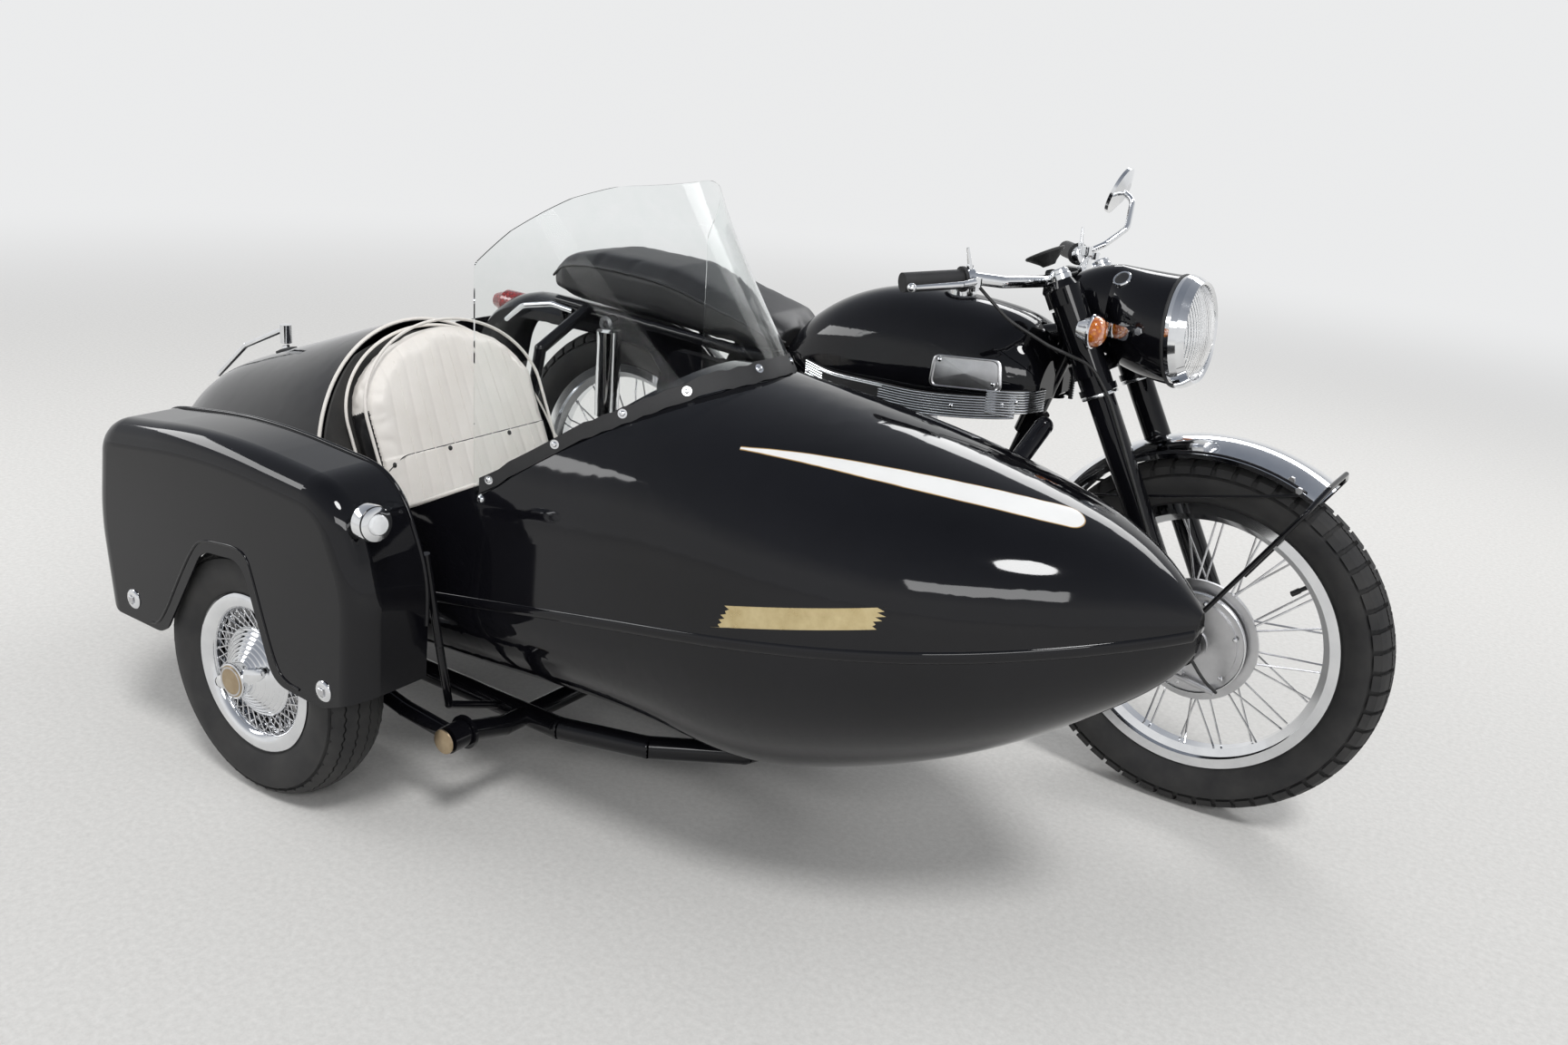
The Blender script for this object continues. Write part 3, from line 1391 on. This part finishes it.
def spinner_ear(form, centre, out, angle):
    """One ear of the spinner, thick at its root and thin at its tip."""
    reach = Vector((math.cos(angle), 0, math.sin(angle)))
    across = out.cross(reach)
    rows = []
    # distance from the axle, half width, lowest and highest level, in metres
    for r, half, low, high in ((0.022, 0.015, 0.066, 0.088), (0.038, 0.0135, 0.067, 0.0865),
                               (0.054, 0.011, 0.068, 0.084), (0.066, 0.008, 0.069, 0.080),
                               (0.071, 0.004, 0.071, 0.0775)):
        middle = centre + reach * r
        ring = []
        for c, d in ((-1, -0.6), (-0.6, -1), (0.6, -1), (1, -0.6),
                     (1, 0.5), (0.45, 1), (-0.45, 1), (-1, 0.5)):
            level = (low + high) / 2 + d * (high - low) / 2
            ring.append(middle + across * (half * c) + out * level)
        rows.append(ring)
    form.grid(rows, close_columns=True)
    form.cap(rows[-1])


def sidecar_wheel_trim():
    """Broad trim ring, crossed wires, ribbed cone, eared spinner and its bare bronze cap."""
    low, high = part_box("sidecar_tyre")
    centre = (low + high) / 2
    out = Vector((0, -1, 0))
    revolved("wheel_trim_ring", TRIM_RING, centre, out, "chrome", "sidecar_wheel", 96)
    wires = Form()
    for index in range(WIRE_COUNT):
        for turn, level in ((1, 0.0400), (-1, 0.0368)):
            a = math.tau * index / WIRE_COUNT
            b = a + turn * WIRE_LEAN
            start = centre + out * (level - 0.005) + Vector((math.cos(a), 0, math.sin(a))) * 0.079
            end = centre + out * (level - 0.002) + Vector((math.cos(b), 0, math.sin(b))) * 0.1125
            rod(wires, start, end, 0.0014)
    wires.object("wheel_wires", "steel_spokes", "sidecar_wheel", 60)
    cone = Form()
    turned(cone, wheel_cone(), centre, out, 72)
    for angle in EAR_TURN:
        spinner_ear(cone, centre, out, angle)
    cone.object("wheel_cone_and_spinner", "chrome", "sidecar_wheel", 32)
    revolved("wheel_cap", [(0.0278, 0.0860), (0.0284, 0.0905), (0.0270, 0.0917), (0.0230, 0.0920),
                           (0.0002, 0.0922)], centre, out, "bronze", "sidecar_wheel", 56)


# Sidecar mudguard: its two washers and the raised line round the wheel opening, (x, z) in mm

WASHERS = ((-208.5, 293), (307, 282))
OPENING_LINE = ((-160, 262), (-138, 270), (-110, 304), (-60, 384), (-22, 438), (4, 460), (48, 468), (96, 472),
                (122, 462), (136, 432), (156, 374), (176, 318), (194, 282), (216, 268), (246, 264))


def mudguard_trim():
    """Washers with square nuts, the raised line, and the rolled inner edge."""
    skin = Skin("sidecar_mudguard")
    out = Vector((0, -1, 0))
    washers = Form()
    nuts = Form()
    for x, z in WASHERS:
        spot, _ = skin.hit(place(x, -1400, z), -out)
        turned(washers, [(0.0180, -0.001), (0.0183, 0.0012), (0.0165, 0.0034), (0.0120, 0.0048),
                         (0.0092, 0.0046), (0.0084, 0.0030), (0.0002, 0.0030)], spot, out, 40)
        nut(nuts, spot + out * 0.0025, out, 0.0088, 0.0050, 4)
    washers.object("mudguard_washers", "chrome", "chassis", 35)
    nuts.object("mudguard_nuts", "satin_alloy", "chassis", 30)
    line = []
    for x, z in OPENING_LINE:
        spot, _ = skin.hit(place(x, -1400, z), -out)
        line.append(spot)
    tube_along("mudguard_raised_line", smooth(line, 5), 0.0024, "black_paint", "chassis")
    middle = place(40, -1003, 430)
    edge = []
    for i in range(46):
        angle = math.radians(-8 + 196 * i / 45)
        ahead = Vector((-math.cos(angle), 0, -math.sin(angle)))
        spot, _ = skin.hit(middle - ahead * 0.7, ahead)
        if spot is not None:
            edge.append(spot)
    tube_along("mudguard_rolled_edge", edge, 0.0042, "black_paint", "chassis")


def mudguard_lamp():
    """Chromed bezel and frosted lens of the round lamp on the mudguard."""
    axis = Vector((24, -3, 2)).normalized()
    face = place(420, -1122, 592)
    revolved("mudguard_lamp_bezel", [(0.0262, -0.0255), (0.0288, -0.0245), (0.0292, -0.006), (0.0270, 0.0005),
                                     (0.0210, 0.0035), (0.0165, 0.0040), (0.0160, 0.0015)],
             face, axis, "chrome", "chassis")
    revolved("mudguard_lamp_lens", [(0.0160, 0.0015), (0.0158, 0.0075), (0.0142, 0.0100), (0.0080, 0.0112),
                                    (0.0002, 0.0116)], face, axis, "frosted", "chassis")


# Cockpit: the opening's edge in side view, (x, z) in mm, and the lean of its rear

RIM_EDGE = ((440, 622), (372, 589), (304, 555), (236, 522), (172, 490), (140, 488), (100, 488), (70, 488))
HOOP_FOOT = place(54, -631, 488)


def cockpit_beading():
    """Cream beading round the cockpit's edge: near side, over the hoop, and back along the far side."""
    skin = Skin("body_upper")
    near, far = [], []
    for x, z in RIM_EDGE:
        for line, y, ahead in ((near, -1300, LEFT), (far, 100, -LEFT)):
            spot, _ = skin.hit(place(x, y, z - 2.5), ahead)
            if spot is not None:
                line.append(spot)
    hoop = []
    for i in range(41):
        angle = math.pi * (0.02 + 0.96 * i / 40)
        out = -LEFT * math.cos(angle) + BACK_UP * math.sin(angle)
        spot, _ = skin.hit(HOOP_FOOT + out * 0.6, -out)
        if spot is not None:
            hoop.append(spot)
    tube_along("cockpit_beading", near + hoop + far[::-1], 0.0036, "cream_vinyl", "chassis")


# Moulding over the sidecar's seam: its ends and middle line, mm, and half height, reach and sink, in metres
SEAM_ENDS = (-702, 1527)
SEAM_MIDDLE = -631
SEAM_STATIONS = 90
# The shell is met a little over the seam, mm, and the moulding's middle lies a little under it, metres
SEAM_OVER = 4
SEAM_UNDER = 0.005
MOULD_HALF = 0.010
MOULD_REACH = 0.0055
MOULD_SINK = 0.002


def seam_height(x):
    """Height of the sidecar's seam, mm."""
    return 340 + 0.17 * x


def seam_moulding():
    """Rounded black moulding that covers the joint of the sidecar's two shells, all round."""
    skin = Skin("body_upper")
    rear, front = SEAM_ENDS
    sides = []
    for side in (-1, 1):
        line = []
        for i in range(SEAM_STATIONS + 1):
            share = math.cos(math.pi * i / SEAM_STATIONS)
            x = (rear + front) / 2 + (front - rear) / 2 * share
            start = place(x, SEAM_MIDDLE + side * 800, seam_height(x) + SEAM_OVER)
            spot, normal = skin.hit(start, Vector((0, -side, 0)))
            if spot is not None:
                level = seam_height(x) / 1000 - SEAM_UNDER
                line.append((Vector((spot.x, spot.y, level)), level_part(normal)))
        sides.append(line)
    rows = []
    for spot, out in sides[0] + sides[1][::-1]:
        ring = []
        for k in range(20):
            a = math.tau * k / 20
            ring.append(spot + out * (MOULD_REACH * math.cos(a) - MOULD_SINK)
                        + Vector((0, 0, MOULD_HALF * math.sin(a))))
        for point in ring:
            point.x = max(point.x, cad_box[0].x)
        rows.append(ring)
    form = Form()
    form.grid(rows, close_columns=True, close_rows=True)
    form.object("seam_moulding", "black_paint", "chassis", 50)


def body_screws():
    """Bright screws on the near side of the body and the capped boss on the tail deck."""
    skin = Skin("body_upper")
    screws = Form()
    for x, z in ((274, 511.5), (438.7, 591)):
        spot, normal = skin.hit(place(x, -1300, z), LEFT)
        screw_head(screws, spot, normal, 0.0060, 0.0032, washer=0.0082)
    screws.object("body_screws", "chrome", "chassis", 30)
    spot, normal = skin.hit(place(-425, SEAM_MIDDLE, 1000), DOWN)
    revolved("tail_boss", [(0.0230, -0.002), (0.0215, 0.0035), (0.0120, 0.0055), (0.0002, 0.0055)],
             spot, normal, "black_rubber", "chassis")
    cap = Form()
    nut(cap, spot + normal * 0.0055, normal, 0.0085, 0.0060)
    cap.object("tail_boss_nut", "chrome", "chassis", 30)


def cowl_trim():
    """Small instrument on the cowl, the bead behind the lamp's rim and the signals' bracket bolt."""
    skin = Skin("lamp_cowl")
    spot, normal = skin.hit(place(1128.9, -45.8, 1100), DOWN)
    revolved("instrument_bezel", [(0.0165, -0.003), (0.0172, 0.0020), (0.0158, 0.0038), (0.0132, 0.0036),
                                  (0.0126, 0.0018)], spot, normal, "chrome", "steering")
    revolved("instrument_face", [(0.0130, 0.0008), (0.0128, 0.0020), (0.0002, 0.0020)], spot, normal,
             "black_rubber", "steering")
    revolved("lamp_rim_bead", [(0.0965, -0.0070), (0.1000, -0.0062), (0.1010, -0.0035), (0.1000, -0.0008),
                               (0.0965, 0.0)], LAMP_FACE, LAMP_AXIS, "black_rubber", "steering", 96)
    bolts = Form()
    nut(bolts, place(1191.3, -98, 890.5), -LEFT, 0.0075, 0.0055)
    bolts.object("signal_bracket_bolt", "chrome", "steering", 30)


def front_wheel_trim():
    """Bright rim and rivets of the brake plate, the tyre's valve, and the mudguard's edge beads and bolts."""
    axle = place(WHEELBASE * 1000, 0, TYRE_R * 1000)
    skin = Skin("brake_plate")
    spot, _ = skin.hit(axle + Vector((0.097, -0.3, 0)), LEFT)
    centre = Vector((axle.x, spot.y, axle.z))
    revolved("brake_plate_rim", [(0.0950, -0.001), (0.0952, 0.0020), (0.0968, 0.0030), (0.0985, 0.0020),
                                 (0.0987, -0.001)], centre, -LEFT, "polished", "steering", 96)
    rivets = Form()
    for i in range(6):
        angle = math.tau * (i + 0.35) / 6
        spot, _ = skin.hit(axle + Vector((0.082 * math.cos(angle), -0.3, 0.082 * math.sin(angle))), LEFT)
        screw_head(rivets, spot, -LEFT, 0.0045, 0.0026)
    rivets.object("brake_plate_rivets", "chrome", "steering", 30)
    valve = Form()
    out = Vector((math.cos(math.radians(40)), 0, math.sin(math.radians(40))))
    rod(valve, axle + out * 0.224, axle + out * 0.192, 0.0040, 16)
    rod(valve, axle + out * 0.204, axle + out * 0.188, 0.0052, 16)
    valve.object("front_tyre_valve", "black_rubber", "front_wheel", 30)
    guard = Skin("front_mudguard")
    for side in (-1, 1):
        edge = []
        for i in range(81):
            angle = math.radians(-60 + 300 * i / 80)
            ahead = Vector((-math.cos(angle), 0, -math.sin(angle)))
            spot, _ = guard.hit(axle + Vector((0, side * 0.0605, 0)) - ahead * 0.6, ahead)
            if spot is not None and (spot - axle).length > 0.3:
                edge.append(spot)
        tube_along(f"front_mudguard_bead_{side_name(side)}", edge, 0.0026, "black_paint", "steering")
    bolts = Form()
    for x, z in ((1483.7, 678.8), (1500.8, 665.3)):
        spot, _ = guard.hit(place(x, -300, z), LEFT)
        if spot is not None:
            nut(bolts, spot, -LEFT, 0.0065, 0.0045)
    bolts.object("front_mudguard_bolts", "satin_alloy", "steering", 30)


def pivot_cap():
    """Bronze domed disc on the end of the wheel arm's pivot."""
    revolved("pivot_cap", [(0.0205, -0.001), (0.0222, 0.0008), (0.0215, 0.0028), (0.0150, 0.0042),
                           (0.0002, 0.0050)], place(422, -992, 172), Vector((0, -1, 0)), "bronze",
             "chassis")


seat_back()
seat_cushion()
dual_seat()
head_lamp()
fork_trim()
signal_domes()
sidecar_wheel_trim()
mudguard_trim()
mudguard_lamp()
cockpit_beading()
pivot_cap()
seam_moulding()
body_screws()
cowl_trim()
front_wheel_trim()
paint_flash()
gold_badge()
screen_strip()
for bike_side in (-1, 1):
    tank_band(bike_side)
    tank_badge(bike_side)
trail_tyre("front_tread_tyre", "front_tyre", "front_wheel")
trail_tyre("rear_tread_tyre", "rear_tyre", "rear_wheel")
car_tyre("sidecar_ribbed_tyre", "sidecar_tyre", "sidecar_wheel")
dress_nodes()
camera()
lighting()
world()
floor()
bpy.context.scene.view_settings.view_transform = "Standard"

bpy.context.view_layer.update()
